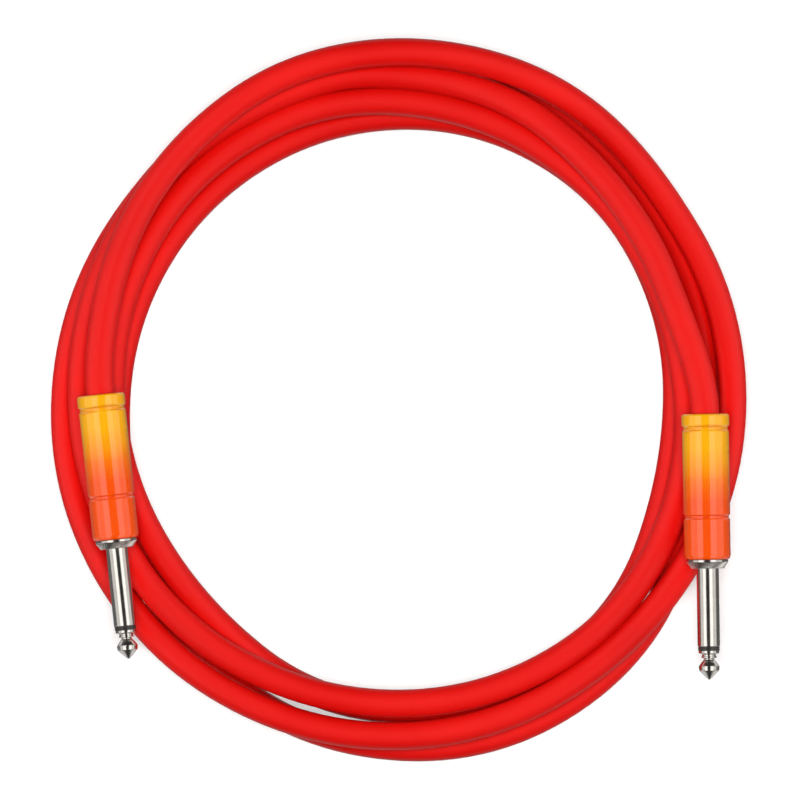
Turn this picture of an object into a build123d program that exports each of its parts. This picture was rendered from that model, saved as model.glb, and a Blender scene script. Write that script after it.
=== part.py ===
"""Instrument cable: a coiled two-core cord with a straight 6.35 mm plug at each end.

Millimetres, +Z up. The origin is the middle of the coil, on the surface that it lies on.
Each plug is built along its own axis: its height 0 is the barrel's cord end, and heights grow
towards the tip.
"""
from build123d import *
from math import cos, pi, radians, sin, tan
import os

# ---- Cord ----
jacket_radius = 4.0
core_radius = 0.45
dielectric_radius = 1.5
screen_radius = 1.8
shield_thickness = 0.3
layer_gap = 0.01  # between layers and parts that are pressed together

# ---- Coil: the outer shape of the wound turns ----
coil_outer_x = 99.4
coil_outer_y = 102.4
coil_inner_x = 75.2
coil_inner_y = 79.6
coil_opening_shift = -3.0  # the opening sits a little below the middle
coil_layers = 2
coil_edge_radius = 3.5
coil_height = coil_layers * 2 * jacket_radius

# ---- Inside the barrel: clamp and liner, from the jacket outwards ----
clamp_gap = 0.02
lug_thickness = 0.4
liner_clearance = 0.18
liner_wall = 0.4
liner_end_gap = 0.2
running_clearance = 0.05
liner_radius = jacket_radius + clamp_gap + lug_thickness + liner_clearance + liner_wall

# ---- Thread between barrel and plug body ----
thread_step = 0.5  # outside the liner
thread_pitch = 0.75
thread_turns = 8
thread_runout = 1.0
thread_relief_depth = 0.5
thread_relief_length = 0.8
thread_length = thread_pitch * thread_turns + thread_runout
thread_radius = liner_radius + thread_step

# ---- Barrel ----
barrel_length = 41.4
barrel_wall = 1.25  # outside the thread
barrel_nose_step = 0.2
barrel_nose_length = 11.3
barrel_nose_edge = 0.7
barrel_end_step = 1.2
barrel_end_round = 1.4
barrel_end_wall = 3.2
rear_groove_start = 3.3
rear_groove_width = 1.8
rear_groove_depth = 0.5
front_groove_width = 1.3
front_groove_depth = 0.4
cord_clearance = 0.2
body_clearance = 0.5  # between a plug and the turns that it lies on
barrel_radius = thread_radius + running_clearance + barrel_wall
barrel_nose_radius = barrel_radius - barrel_nose_step
barrel_nose_start = barrel_length - barrel_nose_length

# ---- Plug body's collar ----
collar_step = 0.4  # outside the thread
collar_band = 0.6
collar_length = 2.5
collar_taper = 1.3
collar_radius = thread_radius + collar_step
collar_nose_radius = collar_radius - collar_taper

# ---- Contacts: the standard 6.35 mm plug ----
sleeve_radius = 3.175
sleeve_bore_radius = 1.89
sleeve_length = 22.1  # outside the collar
sleeve_seat_radius = 3.0
sleeve_seat = 7.9  # pressed into the plug body
tip_ring_radius = 3.0
tip_ring_length = 1.2
tip_radius = 2.95
tip_length = 8.3
tip_flange = 0.9
tip_step_radius = 2.0
tip_bead_radius = 2.15
tip_bead_start = 1.6
tip_bead_length = 0.5
tip_neck_radius = 1.45
tip_neck_length = 0.5
tip_widest = 5.1
tip_point_radius = 0.35
rod_radius = 1.2
rod_nose_radius = 0.9
rod_nose_length = 3.4
rod_head_radius = 1.9
rod_head_length = 0.8

# ---- Lugs, clamp and stripped layers ----
washer_thickness = 0.8
washer_clearance = 0.1  # inside the ground lug's strip
tip_lug_radius = 2.6
tip_lug_tab_length = 9.0
tip_lug_tab_width = 2.6
clamp_length = 5.5
clamp_opening = 60.0  # degrees left open over the jacket
strip_width_angle = 64.0  # degrees of the tube that the ground strip is cut from
jacket_in_barrel = 13.0
clamp_from_end = 1.0
shield_collar_length = 1.6
shield_tail_radius = 0.7
shield_tail_drop = 4.5  # past the jacket's end, where it reaches the strip
shield_tail_end = 9.5
wire_bend_radius = 1.5
screen_length = 4.0
core_straight = 1.0  # bare, before it bends to the tip lug
core_bend_length = 4.0
core_overlap = 3.8  # along the tip lug's tab
tip_solder_radius = 1.0
ground_solder_radius = 1.15

# ---- Heights along a plug ----
collar_base = barrel_length
collar_front = collar_base + collar_length
sleeve_front = collar_front + sleeve_length
ring_front = sleeve_front + tip_ring_length
tip_front = ring_front + tip_length
body_rear = collar_base - thread_length
ground_lug_rear = body_rear - lug_thickness
washer_rear = ground_lug_rear - washer_thickness
tip_lug_rear = washer_rear - lug_thickness
tab_rear = washer_rear - tip_lug_tab_length
rod_rear = tip_lug_rear - rod_head_length
core_bend_start = tab_rear - core_bend_length
core_end = tab_rear + core_overlap
jacket_end = jacket_in_barrel
clamp_front = jacket_end - clamp_from_end
clamp_rear = clamp_front - clamp_length

# ---- Where the plugs lie ----
plug_height = coil_height + barrel_radius + body_clearance
left_plug_place = (-85.0, 1.3)
left_plug_lean = 6.1  # degrees that the tip leans towards +X
right_plug_place = (86.6, -4.2)
right_plug_lean = 0.9
lead_straight = 16.0  # from the barrel's cord end to the cord's first corner

# ---- Cord leads: the stretches that run over the coil to each plug ----
# Each list follows on from the corner behind its plug, and its last points lie inside the coil.
left_lead_points = [
    (-79.5, 47.0, 21.2),
    (-61.4, 73.6, 20.3),
    (-32.6, 94.0, 20.3),
    (4.0, 100.2, 19.6),
    (41.4, 91.6, 15.5),
    (68.4, 66.8, 11.0),
]
right_lead_points = [
    (77.4, 39.8, 21.2),
    (60.2, 63.8, 20.3),
    (35.6, 82.0, 16.4),
    (6.5, 92.0, 11.0),
]
corner_share = 0.45  # of the shorter run beside a corner


def turned(half_section):
    """A solid turned about the plug's axis, from (radius, height) points."""
    outline = Polyline(*[(radius, 0, height) for radius, height in half_section], close=True)
    return revolve(make_face(outline), axis=Axis.Z)


def tube(outer_radius, inner_radius, bottom, top):
    """A plain tube between two heights."""
    return turned([(inner_radius, bottom), (outer_radius, bottom), (outer_radius, top), (inner_radius, top)])


def bar(radius, bottom, top):
    """A plain solid cylinder between two heights."""
    return turned([(0, bottom), (radius, bottom), (radius, top), (0, top)])


def bent_rod(points, radius, bend_radii):
    """A round rod along straight runs joined by tangent arcs."""
    path = FilletPolyline(*points, radius=bend_radii)
    start = Plane(origin=path @ 0, z_dir=path % 0)
    return sweep(start * Circle(radius), path=path), path


def barrel():
    rear_bore = jacket_radius + cord_clearance
    bore = liner_radius + running_clearance
    thread_bore = thread_radius + running_clearance
    thread_start = body_rear - thread_runout
    rear_groove_end = rear_groove_start + rear_groove_width
    front_groove_start = barrel_nose_start - front_groove_width
    bevel = rear_groove_depth / 2
    end_face = barrel_radius - barrel_end_step
    return turned([
        (rear_bore, 0),
        (end_face, 0),
        (end_face + barrel_end_step * sin(pi / 4), barrel_end_round * (1 - cos(pi / 4))),
        (barrel_radius, barrel_end_round),
        (barrel_radius, rear_groove_start),
        (barrel_radius - rear_groove_depth, rear_groove_start + bevel),
        (barrel_radius - rear_groove_depth, rear_groove_end - bevel),
        (barrel_radius, rear_groove_end),
        (barrel_radius, front_groove_start),
        (barrel_nose_radius - front_groove_depth, front_groove_start + bevel),
        (barrel_nose_radius - front_groove_depth, barrel_nose_start - bevel),
        (barrel_nose_radius, barrel_nose_start),
        (barrel_nose_radius, barrel_length - barrel_nose_edge),
        (barrel_nose_radius - barrel_nose_edge, barrel_length),
        (thread_bore, barrel_length),
        (thread_bore, thread_start),
        (bore, thread_start),
        (bore, barrel_end_wall),
        (rear_bore, barrel_end_wall),
    ])


def liner():
    start = barrel_end_wall + liner_end_gap
    end = body_rear - thread_runout
    return tube(liner_radius, liner_radius - liner_wall, start, end)


def plug_body():
    insulator_bore = sleeve_bore_radius
    sleeve_bore = sleeve_seat_radius + layer_gap
    sleeve_base = collar_front - sleeve_seat
    relief_radius = thread_radius - thread_relief_depth
    return turned([
        (insulator_bore, body_rear),
        (relief_radius, body_rear),
        (thread_radius, body_rear + thread_relief_depth),
        (thread_radius, collar_base - thread_relief_length),
        (relief_radius, collar_base - thread_relief_length),
        (relief_radius, collar_base),
        (collar_radius, collar_base),
        (collar_radius, collar_base + collar_band),
        (collar_nose_radius, collar_front),
        (sleeve_bore, collar_front),
        (sleeve_bore, sleeve_base),
        (insulator_bore, sleeve_base),
    ])


def sleeve():
    return turned([
        (sleeve_bore_radius, collar_front - sleeve_seat),
        (sleeve_seat_radius, collar_front - sleeve_seat),
        (sleeve_seat_radius, collar_front),
        (sleeve_radius, collar_front),
        (sleeve_radius, sleeve_front),
        (sleeve_bore_radius, sleeve_front),
    ])


def rod_insulator():
    return tube(sleeve_bore_radius - layer_gap, rod_radius + layer_gap, washer_rear, sleeve_front)


def tip_ring():
    return tube(tip_ring_radius, rod_radius + layer_gap, sleeve_front, ring_front)


def centre_rod():
    return turned([
        (0, rod_rear),
        (rod_head_radius, rod_rear),
        (rod_head_radius, tip_lug_rear),
        (rod_radius, tip_lug_rear),
        (rod_radius, ring_front),
        (rod_nose_radius, ring_front),
        (rod_nose_radius, ring_front + rod_nose_length),
        (0, ring_front + rod_nose_length),
    ])


def tip():
    bore = rod_nose_radius + layer_gap
    bore_end = ring_front + rod_nose_length
    bead_start = ring_front + tip_bead_start
    bead_end = bead_start + tip_bead_length
    neck_start = bead_end + layer_gap
    return turned([
        (bore, ring_front),
        (tip_radius, ring_front),
        (tip_radius, ring_front + tip_flange),
        (tip_step_radius, ring_front + tip_flange),
        (tip_step_radius, bead_start),
        (tip_bead_radius, bead_start),
        (tip_bead_radius, bead_end),
        (tip_neck_radius, neck_start),
        (tip_neck_radius, neck_start + tip_neck_length),
        (tip_radius, ring_front + tip_widest),
        (tip_point_radius, tip_front - tip_point_radius / 2),
        (0, tip_front),
        (0, bore_end),
        (bore, bore_end),
    ])


def lug_washer():
    washer_radius = jacket_radius + clamp_gap - washer_clearance
    return tube(washer_radius, sleeve_bore_radius, washer_rear, ground_lug_rear)


def tip_lug():
    ring = tube(tip_lug_radius, rod_radius + layer_gap, tip_lug_rear, washer_rear)
    tab_middle = tip_lug_radius - lug_thickness / 2
    tab = Box(tip_lug_tab_width, lug_thickness, tip_lug_tab_length)
    return ring + Pos(0, tab_middle, washer_rear - tip_lug_tab_length / 2) * tab


def wedge(angle, bottom, top):
    """The space within so many degrees either side of the plug's underside."""
    reach = 4 * jacket_radius
    across = reach * tan(radians(angle / 2))
    flat = make_face(Polyline((0, 0), (across, -reach), (-across, -reach), close=True))
    return Pos(0, 0, bottom) * extrude(flat, top - bottom)


def ground_lug():
    inner = jacket_radius + clamp_gap
    outer = inner + lug_thickness
    ring = tube(outer, sleeve_bore_radius, ground_lug_rear, body_rear)
    strip = tube(outer, inner, clamp_rear, body_rear) & wedge(strip_width_angle, clamp_rear, body_rear)
    gap = Rot(0, 0, 180) * wedge(clamp_opening, clamp_rear, clamp_front)
    clamp = tube(outer, inner, clamp_rear, clamp_front) - gap
    return ring + strip + clamp


def core_screen():
    return tube(screen_radius, dielectric_radius + layer_gap, jacket_end, jacket_end + screen_length)


def core_insulation():
    return tube(dielectric_radius, core_radius + layer_gap, jacket_end, core_bend_start - core_straight)


def core_conductor():
    tab_underside = tip_lug_radius - lug_thickness - core_radius
    points = [
        (0, 0, jacket_end),
        (0, 0, core_bend_start),
        (0, tab_underside, tab_rear),
        (0, tab_underside, core_end),
    ]
    return bent_rod(points, core_radius, [wire_bend_radius, wire_bend_radius])[0]


def shield_tail():
    inner = screen_radius + layer_gap
    collar = tube(inner + shield_thickness, inner, jacket_end, jacket_end + shield_collar_length)
    tail_height = jacket_radius - shield_tail_radius
    points = [
        (0, -inner - shield_thickness / 2, jacket_end + shield_tail_radius),
        (0, -tail_height, jacket_end + shield_tail_drop),
        (0, -tail_height, jacket_end + shield_tail_end),
    ]
    tail = bent_rod(points, shield_tail_radius, [wire_bend_radius])[0]
    return collar + (tail - bar(inner, jacket_end, jacket_end + shield_tail_drop))


def tip_solder():
    seat = tip_lug_radius - lug_thickness - core_radius
    return Pos(0, seat, core_end - tip_solder_radius) * Sphere(tip_solder_radius)


def ground_solder():
    seat = jacket_radius - shield_tail_radius
    return Pos(0, -seat, jacket_end + shield_tail_end - ground_solder_radius / 2) * Sphere(ground_solder_radius)


def plug_plane(place, lean):
    """The plug's own frame: Z towards its tip, Y up."""
    forward = (sin(radians(lean)), -cos(radians(lean)), 0)
    across = (cos(radians(lean)), sin(radians(lean)), 0)
    return Plane(origin=(place[0], place[1], plug_height), x_dir=across, z_dir=forward)


def lead_route(plane, points):
    """The cord's corners, from its end in the clamp, straight out of the barrel and on."""
    end = plane.from_local_coords((0, 0, jacket_end))
    first_corner = plane.from_local_coords((0, 0, -lead_straight))
    return [Vector(end), Vector(first_corner)] + [Vector(*point) for point in points]


def corner_radii(route):
    """Each corner's arc, as large as its two runs allow."""
    radii = []
    for before, corner, after in zip(route, route[1:], route[2:]):
        run_in = corner - before
        run_out = after - corner
        half_turn = radians(run_in.get_angle(run_out) / 2)
        radii.append(corner_share * min(run_in.length, run_out.length) / tan(half_turn))
    return radii


def lead(name, plane, points):
    route = lead_route(plane, points)
    radii = corner_radii(route)
    solid, path = bent_rod(route, jacket_radius, radii)
    expected = pi * jacket_radius**2 * path.length
    print(name, "runs", [round((b - a).length, 1) for a, b in zip(route, route[1:])])
    print(name, "radii", [round(radius, 1) for radius in radii], "length", round(path.length, 1))
    print(name, "volume", round(solid.volume), "section times length", round(expected))
    return solid


def cord_coil():
    outer = Ellipse(coil_outer_x, coil_outer_y)
    opening = Pos(0, coil_opening_shift) * Ellipse(coil_inner_x, coil_inner_y)
    ring = extrude(outer - opening, coil_height)
    return fillet(ring.edges().filter_by(Plane.XY), coil_edge_radius)


plug_parts = {
    "barrel": barrel,
    "liner": liner,
    "plug_body": plug_body,
    "sleeve": sleeve,
    "rod_insulator": rod_insulator,
    "tip_ring": tip_ring,
    "centre_rod": centre_rod,
    "tip": tip,
    "lug_washer": lug_washer,
    "tip_lug": tip_lug,
    "ground_lug": ground_lug,
    "core_screen": core_screen,
    "core_insulation": core_insulation,
    "core_conductor": core_conductor,
    "shield_tail": shield_tail,
    "tip_solder": tip_solder,
    "ground_solder": ground_solder,
}

sides = {
    "left": (plug_plane(left_plug_place, left_plug_lean), left_lead_points),
    "right": (plug_plane(right_plug_place, right_plug_lean), right_lead_points),
}

os.makedirs("parts", exist_ok=True)
export_step(cord_coil(), "parts/cord_coil.step")
for side, (plane, points) in sides.items():
    export_step(lead(side + "_lead", plane, points), f"parts/{side}_lead.step")
    for piece, make in plug_parts.items():
        export_step(plane.location * make(), f"parts/{side}_{piece}.step")
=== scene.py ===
# %% [markdown]
# # An instrument cable, built in Blender around its CAD frame
# The cable is one long red cord with a straight 6.35 mm plug at each end. It lies in a loose coil of
# four and a half turns, and both plugs rest on top of the turns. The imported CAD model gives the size
# and the moving bodies, and this lesson adds the surfaces that a person sees.

# %% Load the frame
from math import cos, pi, radians, sin, tau

import bmesh
import bpy
from mathutils import Matrix, Vector


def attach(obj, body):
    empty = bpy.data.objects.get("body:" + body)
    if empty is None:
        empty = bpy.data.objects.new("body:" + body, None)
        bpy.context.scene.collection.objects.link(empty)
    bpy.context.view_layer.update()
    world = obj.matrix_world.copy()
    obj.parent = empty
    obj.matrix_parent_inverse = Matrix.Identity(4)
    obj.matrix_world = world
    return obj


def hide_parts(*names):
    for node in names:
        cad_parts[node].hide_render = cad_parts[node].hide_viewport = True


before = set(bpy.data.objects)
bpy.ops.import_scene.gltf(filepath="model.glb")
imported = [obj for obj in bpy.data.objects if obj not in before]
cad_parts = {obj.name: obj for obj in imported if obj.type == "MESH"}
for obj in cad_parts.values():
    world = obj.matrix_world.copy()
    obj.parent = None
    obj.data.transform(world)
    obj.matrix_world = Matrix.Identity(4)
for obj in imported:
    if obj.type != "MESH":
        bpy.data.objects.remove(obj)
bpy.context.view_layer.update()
mm = 0.001

# %% [markdown]
# The camera looks straight down from a long way off. A long lens far away keeps the ring round and
# keeps the raised plugs at nearly the same scale as the turns under them, as in a catalogue. A short
# lens close by would make the plugs look larger than the rest.

# %% Camera
camera_height = 3.0
field_width = 0.2288  # how much of the floor the view takes in
view_shift = -0.0003
sensor_width = 36.0
camera_data = bpy.data.cameras.new("camera")
camera_data.sensor_width = sensor_width
camera_data.lens = sensor_width * camera_height / field_width
camera = bpy.data.objects.new("camera", camera_data)
camera.location = (0.0, view_shift, camera_height)
bpy.context.collection.objects.link(camera)
bpy.context.scene.camera = camera
print("lens in millimetres", round(camera_data.lens))

# %% [markdown]
# Both plugs lie on top of the coil and point the same way, and each leans a little. A plug is easiest to
# make upright, in a frame of its own, so a matrix for each plug says where that frame goes. Turning each
# finished piece by hand would give the same result, but its parts could drift out of line.

# %% Where each plug lies
plug_height = 0.0233
plug_places = {
    "left": ((-0.0850, 0.0013, plug_height), 6.1),
    "right": ((0.0866, -0.0042, plug_height), 0.9),
}


def plug_matrix(side):
    """The plug's own frame. Its Z runs from the cord end to the tip, and its Y is up."""
    place, lean = plug_places[side]
    forward = Vector((sin(radians(lean)), -cos(radians(lean)), 0.0))
    up = Vector((0.0, 0.0, 1.0))
    across = up.cross(forward)
    turn = Matrix((across, up, forward)).transposed().to_4x4()
    return Matrix.Translation(place) @ turn


for side in plug_places:
    print(side, "plug points along", [round(part, 3) for part in plug_matrix(side).col[2][:3]])

# %% [markdown]
# Each turn of the coil has twelve control points, written as a radius and a height in millimetres. The
# order of the rows is the order in which the cord was wound: down from the left plug, twice round on the
# floor, then back up over those turns to the right plug. The turns differ in size, because nothing ties
# them. The leads are written as places in metres. Their points next to a plug lie on its axis, so that
# the cord runs straight out of the barrel and the barrel can slide back along it.

# %% The cord's route
jacket_radius = 0.004
control_reach = 1.0347  # a control point lies this much further out than the curve that it bends
left_lead = [
    (-0.083619, -0.011626, plug_height),
    (-0.083724, -0.010632, plug_height),
    (-0.086276, 0.013230, plug_height),
    (-0.0790, 0.0466, 0.0212),
    (-0.0612, 0.0735, 0.0208),
    (-0.0326, 0.0942, 0.0206),
    (0.0040, 0.1004, 0.0202),
    (0.0420, 0.0912, 0.0155),
    (0.0694, 0.0682, 0.0110),
]
turns = [
    [(94.8, 10.3), (94.8, 11.8), (93.7, 12.2), (95.5, 12.2), (96.6, 12.2), (97.4, 11.4), (96.7, 6.0)],
    [(94.6, 4.0), (92.8, 4.0), (96.3, 4.0), (96.6, 4.0), (91.0, 4.0), (89.1, 4.0),
     (86.3, 4.0), (97.4, 4.0), (100.9, 4.0), (98.0, 4.0), (91.6, 4.0), (82.0, 4.0)],
    [(80.1, 4.0), (79.8, 4.0), (80.4, 4.0), (81.4, 4.0), (81.6, 4.0), (79.5, 4.0),
     (78.8, 4.0), (86.8, 4.0), (89.6, 4.0), (88.0, 4.0), (81.0, 7.6), (81.0, 12.8)],
    [(83.5, 11.6), (86.0, 10.3), (86.4, 10.6), (83.2, 12.2), (81.0, 12.4), (80.2, 12.2),
     (83.6, 12.2), (86.7, 12.2), (86.7, 12.2), (86.9, 13.0), (88.8, 13.6), (90.2, 12.0)],
    [(91.2, 12.2), (93.7, 12.9), (92.5, 13.3)],
]
right_lead = [
    (0.0065, 0.0927, 0.0132),
    (0.0340, 0.0844, 0.0165),
    (0.0556, 0.0661, 0.0200),
    (0.0703, 0.0458, 0.0216),
    (0.0784, 0.0262, 0.0226),
    (0.08648, 0.0036, plug_height),
    (0.08673, -0.0125, plug_height),
    (0.086804, -0.017198, plug_height),
]
print("control points:", len(left_lead) + sum(len(turn) for turn in turns) + len(right_lead))

# %% [markdown]
# The cord is one fixed length of flexible cable, so it is one curve with one spline. A NURBS spline of
# order 3 bends smoothly round its control points, and a round bevel gives it its thickness. The order
# and the end rule are set after the points are added, because an empty spline would not keep them.

# %% Make the cord
first_angle = 15  # in degrees
turn_step = 30
steps_between_points = 14
route = list(left_lead)
angle = first_angle
for turn in turns:
    for radius, height in turn:
        reach = radius * mm * control_reach
        route.append((reach * cos(radians(angle)), reach * sin(radians(angle)), height * mm))
        angle -= turn_step
route += right_lead

cord_curve = bpy.data.curves.new("cord", "CURVE")
cord_curve.dimensions = "3D"
spline = cord_curve.splines.new("NURBS")
spline.points.add(len(route) - 1)
for point, place in zip(spline.points, route):
    point.co = (*place, 1.0)
spline.order_u = 3
spline.use_endpoint_u = True
spline.resolution_u = steps_between_points
cord_curve.bevel_depth = jacket_radius
cord_curve.bevel_resolution = 10
cord_curve.use_fill_caps = True
cord = bpy.data.objects.new("cord", cord_curve)
bpy.context.collection.objects.link(cord)

# %% [markdown]
# A real barrel, sleeve or tip is turned on a lathe, so these pieces are lathed here too: an outline is
# carried round the plug's axis. A corner that is written with a third number is rounded by that much,
# because a turned edge is never perfectly sharp and a rounded edge catches the light.

# %% Outline helpers
support = 0.03  # a point this far beside each rounded corner keeps the flat faces looking flat
most_of_edge = 0.48  # two corners on one edge can't take more than this share of it each


def rounded(outline, steps=5):
    """The outline in millimetres, with an arc in place of each corner that gives a radius."""
    points = []
    for index, corner in enumerate(outline):
        here = Vector(corner[:2])
        if len(corner) == 2:
            points.append(tuple(here))
            continue
        before = Vector(outline[index - 1][:2]) - here
        after = Vector(outline[(index + 1) % len(outline)][:2]) - here
        half = before.angle(after) / 2
        room = most_of_edge * min(before.length, after.length)
        setback = min(corner[2] / abs(sin(half)) * cos(half), room)
        start = here + before.normalized() * setback
        end = here + after.normalized() * setback
        if setback + support < 0.5 * before.length:
            points.append(tuple(start + before.normalized() * support))
        for step in range(steps + 1):
            share = step / steps
            bend = start * (1 - share) ** 2 + here * 2 * share * (1 - share) + end * share**2
            points.append(tuple(bend))
        if setback + support < 0.5 * after.length:
            points.append(tuple(end + after.normalized() * support))
    return points


def rows(radius, start, stop, step):
    """Points along a plain wall, close enough together to carry a thread."""
    count = round(abs(stop - start) / step)
    return [(radius, start + (stop - start) * index / count) for index in range(count + 1)]


print("a rounded square has", len(rounded([(0, 0, 1), (4, 0, 1), (4, 4, 1), (0, 4, 1)])), "points")

# %% [markdown]
# Blender's Spin tool or its Screw modifier could carry the outline round, but both would leave the axis
# points and the thread to be dealt with afterwards. A short helper places every point itself, shares one
# point where the outline meets the axis, and lets a shape function push a wall in or out.

# %% Lathe helper
on_axis = 1e-6
sharp_edge = radians(50)


def lathe(outline, segments=96, shape=None):
    """A closed mesh from an outline in millimetres, carried round the plug's axis."""
    mesh = bmesh.new()
    rings = []
    for radius, height in outline:
        if radius < on_axis:
            rings.append([mesh.verts.new((0.0, 0.0, height * mm))] * segments)
            continue
        ring = []
        for index in range(segments):
            angle = tau * index / segments
            far = shape(radius, height, angle) if shape else radius
            ring.append(mesh.verts.new((far * mm * cos(angle), far * mm * sin(angle), height * mm)))
        rings.append(ring)
    closed = outline[0][0] > on_axis
    for low, high in zip(rings, rings[1:] + rings[:1] if closed else rings[1:]):
        for index in range(segments):
            after = (index + 1) % segments
            corners = [low[index], low[after], high[after], high[index]]
            corners = [vert for place, vert in enumerate(corners) if vert not in corners[:place]]
            if len(corners) > 2:
                mesh.faces.new(corners)
    bmesh.ops.recalc_face_normals(mesh, faces=mesh.faces)
    data = bpy.data.meshes.new("turned")
    mesh.to_mesh(data)
    mesh.free()
    data.polygons.foreach_set("use_smooth", [True] * len(data.polygons))
    data.set_sharp_from_angle(angle=sharp_edge)
    return data


disc = lathe([(0.0, 0.0), (1.0, 0.0), (1.0, 1.0), (0.0, 1.0)])
print("a plain disc has", len(disc.polygons), "faces")
bpy.data.meshes.remove(disc)

# %% [markdown]
# Every piece is first made upright in the plug's own frame, and then its mesh is carried to where that
# plug lies. Before it moves, each point writes down its place in the plug's frame as an attribute. The
# materials read that, so a colour can change along the plug whichever way the plug points.

# %% Place a piece on its plug


def place_on_plug(name, data, side, body, material):
    """Carries a mesh to where its plug lies, and makes it a piece that rides on a body."""
    data.name = name
    local = data.attributes.new("plug_place", "FLOAT_VECTOR", "POINT")
    for item, vert in zip(local.data, data.vertices):
        item.vector = vert.co
    data.transform(plug_matrix(side))
    data.materials.clear()
    data.materials.append(material)
    piece = bpy.data.objects.new(name, data)
    bpy.context.collection.objects.link(piece)
    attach(piece, body)
    print(name, "has", len(data.polygons), "faces")
    return piece


# %% [markdown]
# Materials are small node trees. The helpers below make a tree, add a node and wire it up in one line
# each, so that every finish reads as a short recipe: where the pattern is measured, what it does to the
# colour, and how rough and how bumpy it makes the surface.

# %% Material helpers


class Finish:
    """One material and its main shader, with helpers that add and wire nodes."""

    def __init__(self, name, **settings):
        self.material = bpy.data.materials.new(name)
        self.material.use_nodes = True
        self.tree = self.material.node_tree
        self.shader = self.tree.nodes["Principled BSDF"]
        for socket, value in settings.items():
            self.shader.inputs[socket.replace("_", " ")].default_value = value

    def node(self, kind, inputs=(), **settings):
        """Adds a node. inputs pairs a socket's name or number with a value or with another socket."""
        node = self.tree.nodes.new(kind)
        for name, value in settings.items():
            setattr(node, name, value)
        for socket, value in dict(inputs).items():
            if isinstance(value, bpy.types.NodeSocket):
                self.tree.links.new(value, node.inputs[socket])
            else:
                node.inputs[socket].default_value = value
        return node

    def place(self, stretch=(1, 1, 1), attribute=None):
        """Where the pattern is measured: on the object, or in the plug's frame."""
        if attribute:
            source = self.node("ShaderNodeAttribute", attribute_name=attribute).outputs["Vector"]
        else:
            source = self.node("ShaderNodeTexCoord").outputs["Object"]
        return self.node("ShaderNodeMapping", {"Vector": source, "Scale": stretch}).outputs["Vector"]

    def noise(self, place, scale, detail=3.0, roughness=0.55):
        sockets = {"Vector": place, "Scale": scale, "Detail": detail, "Roughness": roughness}
        return self.node("ShaderNodeTexNoise", sockets).outputs["Fac"]

    def between(self, value, low, high, start=0.3, stop=0.7):
        """Spreads a pattern's middle values between two numbers."""
        sockets = {"Value": value, "From Min": start, "From Max": stop, "To Min": low, "To Max": high}
        return self.node("ShaderNodeMapRange", sockets).outputs["Result"]

    def ramp(self, value, stops):
        """A colour for each value, from (value, colour) stops."""
        node = self.node("ShaderNodeValToRGB", {"Fac": value})
        elements = node.color_ramp.elements
        elements[0].position, elements[0].color = stops[0][0], (*stops[0][1], 1)
        elements[1].position, elements[1].color = stops[-1][0], (*stops[-1][1], 1)
        for position, colour in stops[1:-1]:
            elements.new(position).color = (*colour, 1)
        return node.outputs["Color"]

    def mix(self, share, first, second, blend_type="MIX"):
        sockets = {0: share, 6: first, 7: second}
        node = self.node("ShaderNodeMix", sockets, data_type="RGBA", blend_type=blend_type)
        return node.outputs[2]

    def math(self, operation, first, second=0.0):
        return self.node("ShaderNodeMath", {0: first, 1: second}, operation=operation).outputs[0]

    def bump(self, height, distance, under=None):
        sockets = {"Height": height, "Distance": distance, "Strength": 1.0}
        if under:
            sockets["Normal"] = under
        return self.node("ShaderNodeBump", sockets).outputs["Normal"]

    def use(self, **links):
        for socket, source in links.items():
            self.tree.links.new(source, self.shader.inputs[socket.replace("_", " ")])
        return self.material


# %% [markdown]
# The jacket is extruded PVC: a strong red with a satin skin. Up close the skin has a fine grain, and
# over a few centimetres it is a little uneven, because the wires inside press on it and hands polish
# it. The colour, the roughness and the height all vary a little, which keeps the long cord from
# looking like a flat red tube.

# %% Jacket material


def make_jacket():
    finish = Finish("jacket_pvc", Specular_IOR_Level=0.22, IOR=1.5)
    place = finish.place()
    patches = finish.noise(place, scale=28.0, detail=2.0)
    grain = finish.noise(place, scale=2600.0, detail=3.0, roughness=0.6)
    waves = finish.noise(place, scale=150.0, detail=2.0)
    dust = finish.noise(place, scale=900.0, detail=4.0, roughness=0.7)
    deep_red = (0.585, 0.0027, 0.0016)
    clear_red = (0.65, 0.0045, 0.003)
    dust_red = (0.78, 0.08, 0.06, 1.0)
    red = finish.ramp(patches, [(0.30, deep_red), (0.70, clear_red)])
    red = finish.mix(finish.between(dust, 0.0, 0.05, start=0.62, stop=0.80), red, dust_red)
    rough = finish.between(patches, 0.42, 0.54)
    rough = finish.math("ADD", rough, finish.between(grain, -0.04, 0.05))
    normal = finish.bump(waves, distance=0.00010)
    normal = finish.bump(grain, distance=0.000012, under=normal)
    return finish.use(Base_Color=red, Roughness=rough, Normal=normal)


jacket = make_jacket()
cord_curve.materials.append(jacket)
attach(cord, "root")
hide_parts("cord_coil", "left_lead", "right_lead")
print("jacket nodes:", len(jacket.node_tree.nodes))

# %% [markdown]
# The barrel is turned brass under a gloss lacquer that fades from yellow at the cord end to orange-red
# at the front. A ramp along the plug gives the fade, and a clear coat gives the deep gloss. The lacquer
# has a faint ripple, called orange peel, and its colour is painted a shade darker in the two grooves, as
# painted shade. The ramp's positions are shares of the barrel's length.

# %% Lacquer material
barrel_length = 41.4


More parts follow.
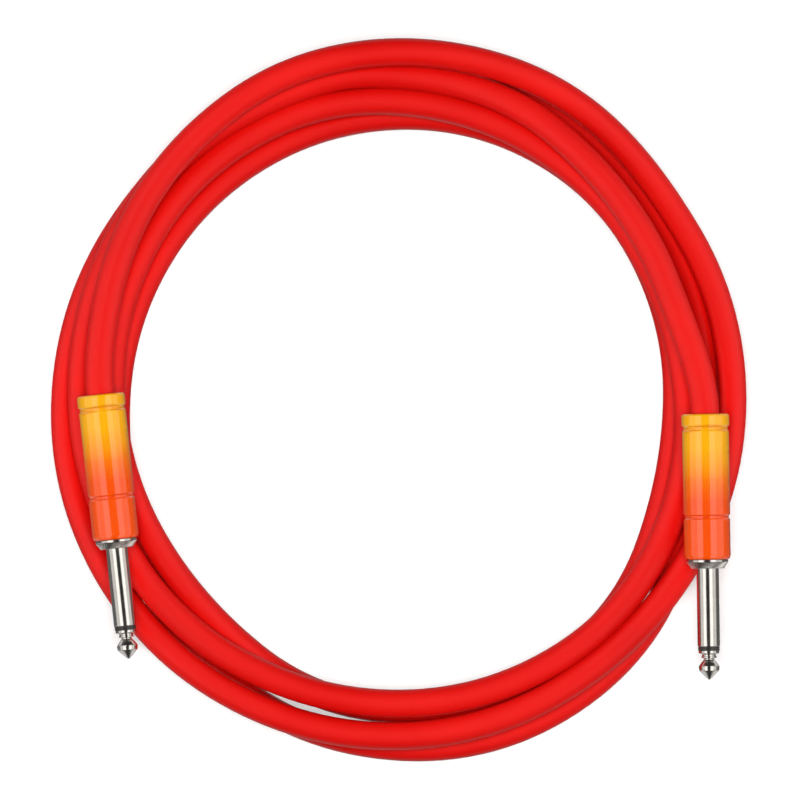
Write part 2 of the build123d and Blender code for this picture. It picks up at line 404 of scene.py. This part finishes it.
def make_lacquer():
    finish = Finish(
        "barrel_lacquer", Coat_Weight=1.0, Coat_Roughness=0.04, Coat_IOR=1.56, Specular_IOR_Level=0.04
    )
    place = finish.place(attribute="plug_place")
    along = finish.node("ShaderNodeSeparateXYZ", {0: place}).outputs["Z"]
    drift = finish.between(finish.noise(place, scale=160.0, detail=2.0), -0.7 * mm, 0.7 * mm)
    share = finish.math("MULTIPLY", finish.math("ADD", along, drift), 1 / (barrel_length * mm))
    yellow = (0.76, 0.35, 0.0015)
    amber = (0.75, 0.27, 0.0015)
    orange = (0.74, 0.14, 0.0008)
    red = (0.73, 0.060, 0.0004)
    fade = finish.ramp(
        share, [(0.0, yellow), (0.22, yellow), (0.34, amber), (0.46, orange), (0.60, red), (1.0, red)]
    )
    full = (1.0, 1.0, 1.0)
    deep = (0.90, 0.72, 0.6)
    # painted shade: this ramp multiplies the colour a shade darker in the two grooves
    groove_shade_ramp = finish.ramp(share, [
        (0.0, full), (0.080, full), (0.092, deep), (0.108, deep), (0.120, full),
        (0.690, full), (0.700, deep), (0.715, deep), (0.724, full), (1.0, full),
    ])
    fade = finish.mix(1.0, fade, groove_shade_ramp, "MULTIPLY")
    speck = finish.noise(place, scale=3800.0, detail=2.0, roughness=0.5)
    flake = (0.82, 0.35, 0.015, 1.0)
    fade = finish.mix(finish.between(speck, 0.0, 0.10, start=0.45, stop=0.75), fade, flake)
    rough = finish.between(finish.noise(place, scale=420.0, detail=3.0), 0.26, 0.38)
    peel = finish.bump(finish.noise(place, scale=520.0, detail=1.0), distance=0.0000015)
    under = finish.bump(speck, distance=0.000002)
    return finish.use(Base_Color=fade, Roughness=rough, Normal=under, Coat_Normal=peel)


lacquer = make_lacquer()
print("lacquer nodes:", len(lacquer.node_tree.nodes))

# %% [markdown]
# The barrel screws onto the plug body with a fine thread. A thread is a groove that climbs by one pitch
# in each turn, so its depth depends on the height and on the angle together. The lathe's shape function
# is where that rule goes: it moves each point of the threaded wall in or out.

# %% Thread rule
thread_pitch = 0.75
body_thread_depth = 0.42
bore_thread_depth = 0.36
row_step = 0.09  # how far apart the points of a threaded wall are
threaded_segments = 128
same_wall = 0.001
flank_slope = 1.25
crest_share = 0.12  # this much of the flank stays flat on the crest


def thread_cut(height, angle, start, stop):
    """How deep the thread is at this height and angle, from 0 on a crest to 1 in a root."""
    if not start < height < stop:
        return 0.0
    phase = (height / thread_pitch - angle / tau) % 1.0
    flank = 1.0 - abs(2.0 * phase - 1.0)
    fade = min(1.0, (height - start) / thread_pitch, (stop - height) / thread_pitch)
    return fade * min(1.0, max(0.0, flank_slope * flank - crest_share))


crest = 4 * thread_pitch
root = 4.5 * thread_pitch
print("depth on a crest and in a root:", thread_cut(crest, 0.0, 0, 9), thread_cut(root, 0.0, 0, 9))

# %% [markdown]
# The barrel's outline runs up its outside, over the front edge and back down its bore. The cord end has
# a raised band and a groove for the fingers, and a second groove marks off the front third. The mouth for
# the cord is flared and rounded, so that it doesn't bite into the jacket when the barrel is slid back.

# %% Barrels
bore_radius = 5.55
bore_thread_span = (33.9, 40.9)
bore_thread = rows(bore_radius, bore_thread_span[1], bore_thread_span[0], row_step)
barrel_outline = rounded([
    (4.85, 0.0, 0.25),
    (6.8, 0.0, 1.25),
    (6.8, 3.35, 0.35),
    (6.34, 3.75, 0.3),
    (6.34, 4.45, 0.3),
    (6.66, 4.95, 0.35),
    (6.64, 28.6, 0.3),
    (6.28, 28.95, 0.25),
    (6.28, 29.6, 0.25),
    (6.6, 29.95, 0.3),
    (6.6, 40.3, 0.9),
    (6.3, 41.15, 0.5),
    (5.68, barrel_length, 0.1),
    *bore_thread,
    (bore_radius, 33.4),
    (5.05, 33.4),
    (5.05, 3.2, 0.15),
    (4.25, 3.2, 0.1),
    (4.25, 2.6, 0.5),
])


def bore_shape(radius, height, angle):
    """Cuts the thread outwards into the barrel's bore."""
    in_bore = abs(radius - bore_radius) < same_wall
    return radius + (bore_thread_depth * thread_cut(height, angle, *bore_thread_span) if in_bore else 0.0)


for side in plug_places:
    shell = lathe(barrel_outline, threaded_segments, bore_shape)
    piece = place_on_plug(side + "_shell", shell, side, side + "_barrel", lacquer)
    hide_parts(side + "_barrel")

# %% [markdown]
# The contacts and the plug body are nickel-plated brass. Nickel is a slightly warm mirror. A lathe
# leaves rings that are too fine to see one by one, but they stretch each reflection along the plug, and
# plugging in leaves a few hairline scratches the other way. Shade is painted, nearly black, at the foot
# of the ribs on the body's cone: the material darkens any point there that lies within a tenth of a
# millimetre or so of the cone itself. The cone's two ends, as a radius and a height, are named here, and
# the body uses them.

# %% Nickel material
cone_foot = (5.62, 42.12)
cone_top = (4.46, 43.72)
rib_foot_shade_depth = (0.02, 0.14)  # full painted shade up to the first height above the cone, and none past the second
blend = 0.02


def make_nickel():
    finish = Finish("nickel_plate", Metallic=1.0)
    rings = finish.noise(finish.place((300, 300, 9000), "plug_place"), scale=1.0, detail=2.0)
    rubs_place = finish.place((5200, 5200, 110), "plug_place")
    rubs = finish.noise(rubs_place, scale=1.0, detail=3.0, roughness=0.6)
    cloud = finish.noise(finish.place(attribute="plug_place"), scale=260.0, detail=3.0)
    dull = (0.57, 0.545, 0.505)
    bright = (0.64, 0.615, 0.57)
    scratch = (0.88, 0.86, 0.83, 1.0)
    # painted shade: a near-black colour for the foot of the ribs on the cone
    rib_foot_shade_colour = (0.05, 0.045, 0.04, 1.0)
    tone = finish.ramp(cloud, [(0.3, dull), (0.7, bright)])
    tone = finish.mix(finish.between(rubs, 0.0, 0.25, start=0.64, stop=0.74), tone, scratch)

    where = finish.node("ShaderNodeSeparateXYZ", {0: finish.place(attribute="plug_place")}).outputs
    along = where["Z"]
    across = finish.node("ShaderNodeCombineXYZ", {"X": where["X"], "Y": where["Y"]}).outputs[0]
    out = finish.node("ShaderNodeVectorMath", {0: across}, operation="LENGTH").outputs["Value"]
    (foot_radius, foot), (top_radius, top) = cone_foot, cone_top
    cone = finish.between(along, foot_radius * mm, top_radius * mm, foot * mm, top * mm)
    above_cone = finish.math("SUBTRACT", out, cone)
    dark = finish.between(above_cone, 1.0, 0.0, rib_foot_shade_depth[0] * mm, rib_foot_shade_depth[1] * mm)
    past_foot = finish.between(along, 0.0, 1.0, (foot - blend / 2) * mm, (foot + blend / 2) * mm)
    below_top = finish.between(along, 1.0, 0.0, (top + blend / 2) * mm, (top + 1.5 * blend) * mm)
    dark = finish.math("MULTIPLY", finish.math("MULTIPLY", dark, past_foot), below_top)
    # paints shade at the foot of the ribs by mixing the tone towards that near-black colour
    tone = finish.mix(dark, tone, rib_foot_shade_colour)

    rough = finish.between(cloud, 0.13, 0.19)
    rough = finish.math("ADD", rough, finish.between(rubs, 0.0, 0.12, start=0.6, stop=0.8))
    normal = finish.bump(rings, distance=0.0000010)
    normal = finish.bump(rubs, distance=0.0000012, under=normal)
    return finish.use(Base_Color=tone, Roughness=rough, Normal=normal)


nickel = make_nickel()
print("nickel nodes:", len(nickel.node_tree.nodes))

# %% [markdown]
# The plug body is the threaded heart of the plug. Its thread hides in the barrel until the barrel is
# screwed back, and its collar shows in front. The collar's cone is knurled with slanted ribs, so that
# fingers can hold it still while the barrel turns.

# %% Plug body without its ribs
wall_radius = 5.5
body_thread_span = (34.9, 40.6)
body_thread = rows(wall_radius, *body_thread_span, row_step)
body_outline = rounded([
    (1.89, 34.4),
    (5.0, 34.4, 0.08),
    *body_thread,
    (5.0, 40.6),
    (5.0, 41.4),
    (5.9, 41.4, 0.12),
    (5.9, 42.05, 0.10),
    cone_foot,
    cone_top,
    (4.46, 43.9, 0.08),
    (3.01, 43.9),
    (3.01, 36.0),
    (1.89, 36.0),
])


def body_shape(radius, height, angle):
    """Cuts the thread inwards into the plug body."""
    on_wall = abs(radius - wall_radius) < same_wall
    return radius - (body_thread_depth * thread_cut(height, angle, *body_thread_span) if on_wall else 0.0)


plain_body = lathe(body_outline, threaded_segments, body_shape)
print("plain body faces:", len(plain_body.polygons))

# %% [markdown]
# The ribs repeat round the cone, so Geometry Nodes make them. One rib is a short line with a slim
# profile swept along it, and the tree copies it round the axis as many times as its input says. Its
# sizes are named inputs, so the same tree could rib another collar.

# %% Rib tree
rib_count = 50


def make_rib_tree(material):
    """A node tree that adds slanted ribs to the cone of the geometry that it is given."""
    tree = bpy.data.node_groups.new("cone_ribs", "GeometryNodeTree")
    face = tree.interface
    face.new_socket("Geometry", in_out="INPUT", socket_type="NodeSocketGeometry")
    sizes = {
        "Count": ("NodeSocketInt", rib_count),
        "Rib radius": ("NodeSocketFloat", 0.23 * mm),
        "Wide radius": ("NodeSocketFloat", (cone_foot[0] + 0.04) * mm),
        "Narrow radius": ("NodeSocketFloat", (cone_top[0] + 0.06) * mm),
        "Low height": ("NodeSocketFloat", (cone_foot[1] + 0.01) * mm),
        "High height": ("NodeSocketFloat", (cone_top[1] + 0.02) * mm),
        "Slant": ("NodeSocketFloat", radians(17)),
    }
    for name, (kind, value) in sizes.items():
        face.new_socket(name, in_out="INPUT", socket_type=kind).default_value = value
    face.new_socket("Geometry", in_out="OUTPUT", socket_type="NodeSocketGeometry")

    def add(kind, inputs=(), **settings):
        node = tree.nodes.new(kind)
        for name, value in settings.items():
            setattr(node, name, value)
        for socket, value in dict(inputs).items():
            if isinstance(value, bpy.types.NodeSocket):
                tree.links.new(value, node.inputs[socket])
            else:
                node.inputs[socket].default_value = value
        return node

    given = add("NodeGroupInput").outputs
    start = add("ShaderNodeCombineXYZ", {"X": given["Wide radius"], "Z": given["Low height"]})
    flat_end = add("ShaderNodeCombineXYZ", {"X": given["Narrow radius"], "Z": given["High height"]})
    slanted = add(
        "ShaderNodeVectorRotate",
        {"Vector": flat_end.outputs[0], "Angle": given["Slant"]},
        rotation_type="Z_AXIS",
    )
    line = add("GeometryNodeCurvePrimitiveLine", {"Start": start.outputs[0], "End": slanted.outputs[0]})
    profile = add("GeometryNodeCurvePrimitiveCircle", {"Resolution": 8, "Radius": given["Rib radius"]})
    sockets = {"Curve": line.outputs[0], "Profile Curve": profile.outputs[0], "Fill Caps": True}
    rib = add("GeometryNodeCurveToMesh", sockets)
    points = add("GeometryNodePoints", {"Count": given["Count"]})
    number = add("GeometryNodeInputIndex")
    step = add("ShaderNodeMath", {0: tau, 1: given["Count"]}, operation="DIVIDE")
    turned = add("ShaderNodeMath", {0: number.outputs[0], 1: step.outputs[0]}, operation="MULTIPLY")
    spin = add("ShaderNodeCombineXYZ", {"Z": turned.outputs[0]})
    sockets = {"Points": points.outputs[0], "Instance": rib.outputs[0]}
    copies = add("GeometryNodeInstanceOnPoints", sockets)
    tree.links.new(spin.outputs[0], copies.inputs["Rotation"])
    joined = add("GeometryNodeJoinGeometry")
    tree.links.new(given["Geometry"], joined.inputs[0])
    tree.links.new(copies.outputs[0], joined.inputs[0])
    real = add("GeometryNodeRealizeInstances", {"Geometry": joined.outputs[0]})
    painted = add("GeometryNodeSetMaterial", {"Geometry": real.outputs[0], "Material": material})
    add("NodeGroupOutput", {0: painted.outputs[0]})
    return tree


rib_tree = make_rib_tree(nickel)
print("rib tree nodes:", len(rib_tree.nodes))

# %% [markdown]
# A modifier reads its inputs by each socket's identifier, so a helper looks the identifier up by name.
# The evaluated result is copied to a plain mesh, and the helper object and its modifier are removed.

# %% Run a tree on a mesh


def run_tree(tree, data, **values):
    """The plain mesh that a node tree makes from a mesh."""
    holder = bpy.data.objects.new("holder", data)
    bpy.context.collection.objects.link(holder)
    modifier = holder.modifiers.new("nodes", "NODES")
    modifier.node_group = tree
    for item in tree.interface.items_tree:
        if item.in_out == "INPUT" and item.name.replace(" ", "_") in values:
            modifier[item.identifier] = values[item.name.replace(" ", "_")]
    bpy.context.view_layer.update()
    evaluated = holder.evaluated_get(bpy.context.evaluated_depsgraph_get())
    made = bpy.data.meshes.new_from_object(evaluated)
    holder.modifiers.remove(modifier)
    bpy.data.objects.remove(holder)
    return made


for side in plug_places:
    body = run_tree(rib_tree, plain_body, Count=rib_count)
    body.set_sharp_from_angle(angle=sharp_edge)
    piece = place_on_plug(side + "_body", body, side, "root", nickel)
    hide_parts(side + "_plug_body")

# %% [markdown]
# The long sleeve is the ground contact, and the shaped tip is the signal contact. The tip's waist is
# where a spring in the socket clicks in, so its curve matters: a flange, a narrow step, a bead, a waist
# and then the bulb that ends in a blunt point. Both are plain lathe work with well rounded edges.

# %% Sleeves and tips
sleeve_outline = rounded([
    (1.89, 36.0),
    (3.0, 36.0),
    (3.0, 43.88),
    (3.175, 43.92, 0.05),
    (3.175, 66.0, 0.14),
    (1.89, 66.0, 0.1),
])
tip_outline = rounded([
    (0.0, 70.61),
    (0.91, 70.61),
    (0.91, 67.2),
    (2.92, 67.2, 0.12),
    (2.92, 68.0, 0.22),
    (1.98, 68.22, 0.2),
    (1.98, 68.72, 0.1),
    (2.14, 68.82, 0.12),
    (2.14, 69.28, 0.15),
    (1.47, 69.42, 0.18),
    (1.47, 69.76, 0.3),
    (2.2, 70.6, 1.2),
    (2.99, 71.7, 0.9),
    (2.84, 72.9, 0.6),
    (0.42, 75.38, 0.3),
    (0.0, 75.5),
])
for side in plug_places:
    for part, outline in (("sleeve", sleeve_outline), ("tip", tip_outline)):
        piece = place_on_plug(side + "_contact_" + part, lathe(outline), side, "root", nickel)
        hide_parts(side + "_" + part)

# %% [markdown]
# A black moulded ring keeps the tip and the sleeve apart. It is a hard gloss plastic, with the faint
# flow marks of moulding and a soft groove where its mould closed.

# %% Moulded plastics


def make_plastic(name, dark, light, rough, attribute=None):
    """A plastic with slow colour clouds, a fine skin and a little unevenness in its gloss."""
    finish = Finish(name)
    place = finish.place(attribute=attribute)
    cloud = finish.noise(place, scale=320.0, detail=3.0)
    skin = finish.noise(place, scale=4200.0, detail=2.0)
    colour = finish.ramp(cloud, [(0.3, dark), (0.7, light)])
    gloss = finish.between(cloud, rough - 0.05, rough + 0.06)
    normal = finish.bump(finish.noise(place, scale=600.0, detail=2.0), distance=0.000006)
    normal = finish.bump(skin, distance=0.0000025, under=normal)
    return finish.use(Base_Color=colour, Roughness=gloss, Normal=normal)


ring_black = make_plastic(
    "black_plastic", (0.012, 0.011, 0.010), (0.028, 0.026, 0.024), 0.26, attribute="plug_place"
)
ring_outline = rounded([
    (1.21, 66.0),
    (3.06, 66.0, 0.1),
    (3.06, 66.5, 0.1),
    (2.98, 66.6, 0.08),
    (3.06, 66.7, 0.1),
    (3.06, 67.2, 0.1),
    (1.21, 67.2),
])
for side in plug_places:
    ring = lathe(ring_outline)
    piece = place_on_plug(side + "_contact_ring", ring, side, "root", ring_black)
    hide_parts(side + "_tip_ring")

# %% [markdown]
# The pieces inside the plug keep their CAD shapes, because those are already what a maker would fit:
# tubes, a rod, lugs and a washer. They still need real finishes for when the barrel comes off or the
# parts are spread out. Each finish is named for what the piece is made of.

# %% Metals inside the plug


def make_metal(name, dark, light, rough, line_stretch, bump_distance):
    """A bare metal with stretched tool marks and a cloudy tarnish."""
    finish = Finish(name, Metallic=1.0)
    marks = finish.noise(finish.place(line_stretch), scale=1.0, detail=3.0)
    cloud = finish.noise(finish.place(), scale=380.0, detail=4.0, roughness=0.6)
    colour = finish.ramp(cloud, [(0.3, dark), (0.7, light)])
    gloss = finish.between(cloud, rough, rough + 0.1)
    gloss = finish.math("ADD", gloss, finish.between(marks, -0.03, 0.05))
    return finish.use(Base_Color=colour, Roughness=gloss, Normal=finish.bump(marks, bump_distance))


inner_finishes = {
    "liner": make_plastic("liner_plastic", (0.03, 0.03, 0.034), (0.06, 0.06, 0.066), 0.42),
    "rod_insulator": make_plastic("milky_plastic", (0.74, 0.73, 0.68), (0.84, 0.83, 0.79), 0.3),
    "core_insulation": make_plastic("core_plastic", (0.76, 0.75, 0.71), (0.86, 0.85, 0.82), 0.38),
    "core_screen": make_plastic("carbon_plastic", (0.018, 0.018, 0.018), (0.04, 0.04, 0.04), 0.62),
    "lug_washer": make_plastic("red_fibre", (0.24, 0.06, 0.035), (0.38, 0.11, 0.065), 0.66),
    "centre_rod": make_metal(
        "turned_brass", (0.66, 0.50, 0.24), (0.80, 0.64, 0.34), 0.2, (500, 9000, 500), 0.000002
    ),
    "tip_lug": make_metal(
        "tinned_brass", (0.62, 0.61, 0.58), (0.76, 0.75, 0.72), 0.26, (900, 4000, 900), 0.000002
    ),
    "core_conductor": make_metal(
        "bare_copper", (0.62, 0.28, 0.15), (0.80, 0.44, 0.28), 0.28, (3500, 600, 3500), 0.00001
    ),
    "tip_solder": make_metal(
        "bright_solder", (0.58, 0.58, 0.57), (0.74, 0.74, 0.72), 0.18, (700, 700, 700), 0.00004
    ),
}
inner_finishes["ground_lug"] = inner_finishes["tip_lug"]
inner_finishes["shield_tail"] = inner_finishes["core_conductor"]
inner_finishes["ground_solder"] = inner_finishes["tip_solder"]
for side in plug_places:
    for part, material in inner_finishes.items():
        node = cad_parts[side + "_" + part]
        for material_slot in node.material_slots:
            material_slot.material = material
print("inner finishes:", len(inner_finishes))

# %% [markdown]
# The whole length of the cord shows, so its length is the curve's own. It leaves the left plug, and the
# right plug is on its far end, so the pieces of the right plug are listed here.

far_pieces = ["right_" + part for part in inner_finishes]
new_parts = ["shell", "body", "contact_sleeve", "contact_tip", "contact_ring"]
far_pieces += ["right_" + part for part in new_parts]
print("pieces on the far end:", len(far_pieces))

# %% [markdown]
# The stage is a plain white floor, like a sheet of studio paper. A white floor right under a gloss
# piece would bounce light into every crevice and show as a pale rim, so this one is hidden from
# reflections and from bounced light. It glows a little by itself, to stay white to its edges.

# %% Floor
floor_radius = 7.0
floor_glow = 0.38
floor_mesh = bmesh.new()
bmesh.ops.create_circle(floor_mesh, cap_ends=True, segments=96, radius=floor_radius)
floor_data = bpy.data.meshes.new("floor")
floor_mesh.to_mesh(floor_data)
floor_mesh.free()
floor = bpy.data.objects.new("floor", floor_data)
bpy.context.collection.objects.link(floor)
floor.visible_diffuse = False
floor.visible_glossy = False
paper = Finish("studio_paper", Roughness=0.9, Specular_IOR_Level=0.1, Emission_Strength=floor_glow)
paper.shader.inputs["Emission Color"].default_value = (1.0, 1.0, 1.0, 1.0)
mottle = paper.noise(paper.place(), scale=3.0, detail=2.0)
paper_tone = paper.ramp(mottle, [(0.3, (0.66, 0.66, 0.66)), (0.7, (0.69, 0.69, 0.69))])
floor_data.materials.append(paper.use(Base_Color=paper_tone))
print("floor radius in metres", floor_radius)

# %% [markdown]
# A light can do one of two jobs here. Long strips to the left and right show only in reflections, and
# they draw two bright bands with a darker stripe between them along each barrel. A panel overhead and a
# low fill on each side light only the matte surfaces, so the red stays even and no panel shows as a
# bright square in the gloss. One panel doing both jobs would tie the highlights to the shading.

# %% Lights
panel_colour = (1.0, 0.99, 0.975)


def soft_panel(name, tilt, distance, width, length, glow, only_reflected):
    """A soft light panel that faces the object, tilted from overhead towards the right.

    glow is how bright its surface looks. It shows either in reflections or on matte surfaces.
    """
    lamp_data = bpy.data.lights.new(name, "AREA")
    lamp_data.shape = "RECTANGLE"
    lamp_data.size = width
    lamp_data.size_y = length
    lamp_data.energy = glow * pi * width * length
    lamp_data.color = panel_colour
    lamp = bpy.data.objects.new(name, lamp_data)
    lamp.location = (distance * sin(radians(tilt)), 0.0, distance * cos(radians(tilt)))
    lamp.rotation_euler = (0.0, radians(tilt), 0.0)
    lamp.visible_camera = False
    lamp.visible_diffuse = not only_reflected
    lamp.visible_glossy = only_reflected
    bpy.context.collection.objects.link(lamp)


for sign in (-1, 1):
    soft_panel("inner_strip", sign * 33.5, 1.5, width=0.80, length=2.6, glow=1.75, only_reflected=True)
    soft_panel("outer_strip", sign * 67.5, 1.5, width=1.0, length=2.6, glow=0.75, only_reflected=True)
    soft_panel("side_fill", sign * 78.0, 1.5, width=0.6, length=1.6, glow=4.0, only_reflected=False)
soft_panel("overhead", 0.0, 2.2, width=1.0, length=1.0, glow=18.2, only_reflected=False)
print("light panels:", len(bpy.data.lights))

# %% [markdown]
# The sky fills in between the lights. It is dim, and palest near the horizon, so that metal edges have
# something to reflect. It is darker in front and behind than at the sides, which keeps the strips' bands
# clear. Mirror-like parts also need something pale below them in front and behind, as a table would be,
# so the low sky there glows for reflections only. The Standard view keeps the red as strong as it is
# mixed, where a film-like view would wash it out towards pink.

# %% Sky and view settings
sky = bpy.data.worlds.new("sky")
sky.use_nodes = True
bpy.context.scene.world = sky
sky_nodes = sky.node_tree
background = sky_nodes.nodes["Background"]
direction = sky_nodes.nodes.new("ShaderNodeTexCoord")
split = sky_nodes.nodes.new("ShaderNodeSeparateXYZ")
sky_nodes.links.new(direction.outputs["Generated"], split.inputs[0])
sky_ramp = sky_nodes.nodes.new("ShaderNodeValToRGB")
sky_stops = [(0.0, 0.14), (0.5, 0.14), (0.54, 0.2), (0.75, 0.15), (0.95, 0.04)]
for position, _ in sky_stops[1:-1]:
    sky_ramp.color_ramp.elements.new(position)
for element, (position, brightness) in zip(sky_ramp.color_ramp.elements, sky_stops):
    element.position = position
    element.color = (brightness, brightness, brightness, 1)


def sky_math(operation, first, second, third=0.0):
    """Adds one sum to the sky, on a value or on what another sum made."""
    node = sky_nodes.nodes.new("ShaderNodeMath")
    node.operation = operation
    for socket, value in zip(node.inputs, (first, second, third)):
        if isinstance(value, bpy.types.NodeSocket):
            sky_nodes.links.new(value, socket)
        else:
            socket.default_value = value
    return node.outputs[0]


front_dimming = -0.88
low_slope = -5.0
low_start = -0.3
glow_slope = 22.0
most_glow = 5.6
height_share = sky_math("MULTIPLY_ADD", split.outputs["Z"], 0.5, 0.5)
front_or_back = sky_math("MULTIPLY", split.outputs["Y"], split.outputs["Y"])
sky_nodes.links.new(height_share, sky_ramp.inputs["Fac"])
sky_nodes.links.new(sky_ramp.outputs["Color"], background.inputs["Color"])
below = sky_math("MULTIPLY_ADD", split.outputs["Z"], low_slope, low_start)
low = sky_math("MINIMUM", sky_math("MAXIMUM", below, 0.0), 1.0)
mirrored = sky_nodes.nodes.new("ShaderNodeLightPath").outputs["Is Glossy Ray"]
table = sky_math("MINIMUM", sky_math("MULTIPLY", front_or_back, glow_slope), most_glow)
table_glow = sky_math("MULTIPLY", sky_math("MULTIPLY", low, mirrored), table)
plain_sky = sky_math("MULTIPLY_ADD", front_or_back, front_dimming, 1.0)
strength = sky_math("ADD", plain_sky, table_glow)
sky_nodes.links.new(strength, background.inputs["Strength"])
bpy.context.scene.view_settings.view_transform = "Standard"
print("sky nodes:", len(sky_nodes.nodes))
